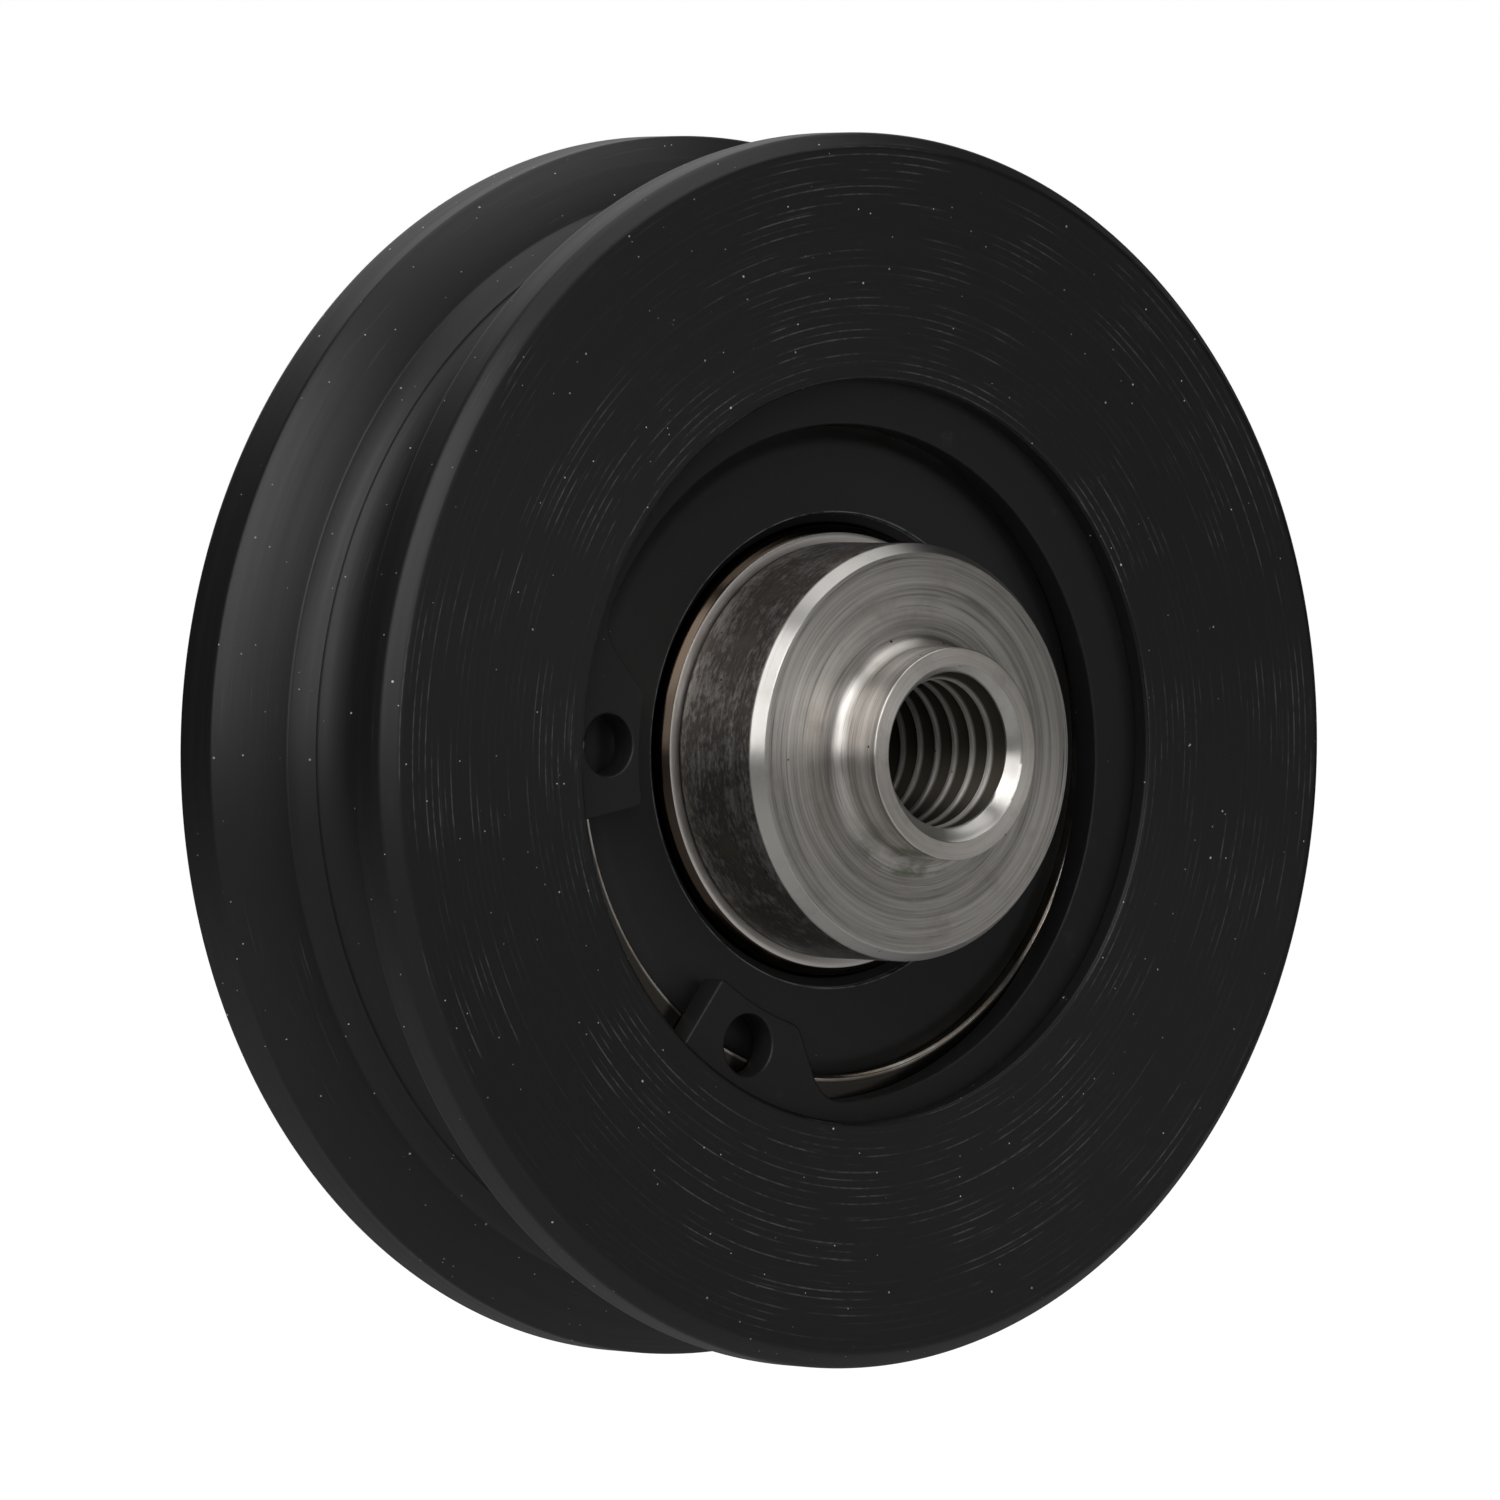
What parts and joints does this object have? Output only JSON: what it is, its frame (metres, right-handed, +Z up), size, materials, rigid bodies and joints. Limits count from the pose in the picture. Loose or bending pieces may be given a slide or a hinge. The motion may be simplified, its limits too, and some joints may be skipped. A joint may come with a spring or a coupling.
{
  "type": "v groove wheel",
  "caption": "Plastic V groove track roller with a sealed ball bearing pressed in, held by retaining rings, turning on a steel hub with a threaded bore and locating boss.",
  "frame": {"origin": "on the axle, in the middle of the wheel body's width", "axes": "Y along the axle, -Y out of the threaded front side; Z up; X to the right seen from the front"},
  "size_m": [0.07, 0.0268, 0.07],
  "materials": {
    "wheel_plastic": "black turned plastic with a satin sheen and fine turning rings",
    "ring_steel": "ground and honed bearing steel",
    "ball_steel": "polished bearing steel",
    "cage_steel": "pressed sheet steel",
    "seal_rubber": "smooth black nitrile rubber",
    "spring_steel": "black phosphated and oiled spring steel",
    "hub_steel": "turned bare steel with a grained side and fine turning rings"
  },
  "bodies": {
    "hub": {"threaded_hub": "hub_steel", "bearing_inner_ring": "ring_steel", "shaft_retaining_ring": "spring_steel"},
    "wheel": {"wheel_body": "wheel_plastic", "bearing_outer_ring": "ring_steel", "seal_front": "seal_rubber", "seal_rear": "seal_rubber", "bore_retaining_ring": "spring_steel"},
    "ball_cage": {"cage_front": "cage_steel", "cage_rear": "cage_steel", "cage_rivets": "cage_steel"},
    "rolling_ball_1": {"ball_1": "ball_steel"},
    "rolling_ball_2": {"ball_2": "ball_steel"},
    "rolling_ball_3": {"ball_3": "ball_steel"},
    "rolling_ball_4": {"ball_4": "ball_steel"},
    "rolling_ball_5": {"ball_5": "ball_steel"},
    "rolling_ball_6": {"ball_6": "ball_steel"},
    "rolling_ball_7": {"ball_7": "ball_steel"},
    "rolling_ball_8": {"ball_8": "ball_steel"},
    "rolling_ball_9": {"ball_9": "ball_steel"}
  },
  "joints": [
    {"name": "wheel_spin", "type": "hinge", "parent": "hub", "child": "wheel", "pos_m": [0, -0.0008, 0], "axis": [0, -1, 0], "continuous": true},
    {"name": "cage_spin", "type": "hinge", "parent": "hub", "child": "ball_cage", "pos_m": [0, -0.0008, 0], "axis": [0, -1, 0], "continuous": true},
    {"name": "ball_1_spin", "type": "hinge", "parent": "ball_cage", "child": "rolling_ball_1", "pos_m": [0.0155, -0.0008, 0], "axis": [0, -1, 0], "continuous": true},
    {"name": "ball_2_spin", "type": "hinge", "parent": "ball_cage", "child": "rolling_ball_2", "pos_m": [0.01187, -0.0008, 0.00996], "axis": [0, -1, 0], "continuous": true},
    {"name": "ball_3_spin", "type": "hinge", "parent": "ball_cage", "child": "rolling_ball_3", "pos_m": [0.00269, -0.0008, 0.01526], "axis": [0, -1, 0], "continuous": true},
    {"name": "ball_4_spin", "type": "hinge", "parent": "ball_cage", "child": "rolling_ball_4", "pos_m": [-0.00775, -0.0008, 0.01342], "axis": [0, -1, 0], "continuous": true},
    {"name": "ball_5_spin", "type": "hinge", "parent": "ball_cage", "child": "rolling_ball_5", "pos_m": [-0.01457, -0.0008, 0.0053], "axis": [0, -1, 0], "continuous": true},
    {"name": "ball_6_spin", "type": "hinge", "parent": "ball_cage", "child": "rolling_ball_6", "pos_m": [-0.01457, -0.0008, -0.0053], "axis": [0, -1, 0], "continuous": true},
    {"name": "ball_7_spin", "type": "hinge", "parent": "ball_cage", "child": "rolling_ball_7", "pos_m": [-0.00775, -0.0008, -0.01342], "axis": [0, -1, 0], "continuous": true},
    {"name": "ball_8_spin", "type": "hinge", "parent": "ball_cage", "child": "rolling_ball_8", "pos_m": [0.00269, -0.0008, -0.01526], "axis": [0, -1, 0], "continuous": true},
    {"name": "ball_9_spin", "type": "hinge", "parent": "ball_cage", "child": "rolling_ball_9", "pos_m": [0.01187, -0.0008, -0.00996], "axis": [0, -1, 0], "continuous": true}
  ],
  "couplings": [
    {"joint": "cage_spin", "follows": "wheel_spin", "ratio": 0.60242},
    {"joint": "ball_1_spin", "follows": "wheel_spin", "ratio": 2.3385},
    {"joint": "ball_2_spin", "follows": "wheel_spin", "ratio": 2.3385},
    {"joint": "ball_3_spin", "follows": "wheel_spin", "ratio": 2.3385},
    {"joint": "ball_4_spin", "follows": "wheel_spin", "ratio": 2.3385},
    {"joint": "ball_5_spin", "follows": "wheel_spin", "ratio": 2.3385},
    {"joint": "ball_6_spin", "follows": "wheel_spin", "ratio": 2.3385},
    {"joint": "ball_7_spin", "follows": "wheel_spin", "ratio": 2.3385},
    {"joint": "ball_8_spin", "follows": "wheel_spin", "ratio": 2.3385},
    {"joint": "ball_9_spin", "follows": "wheel_spin", "ratio": 2.3385}
  ]
}
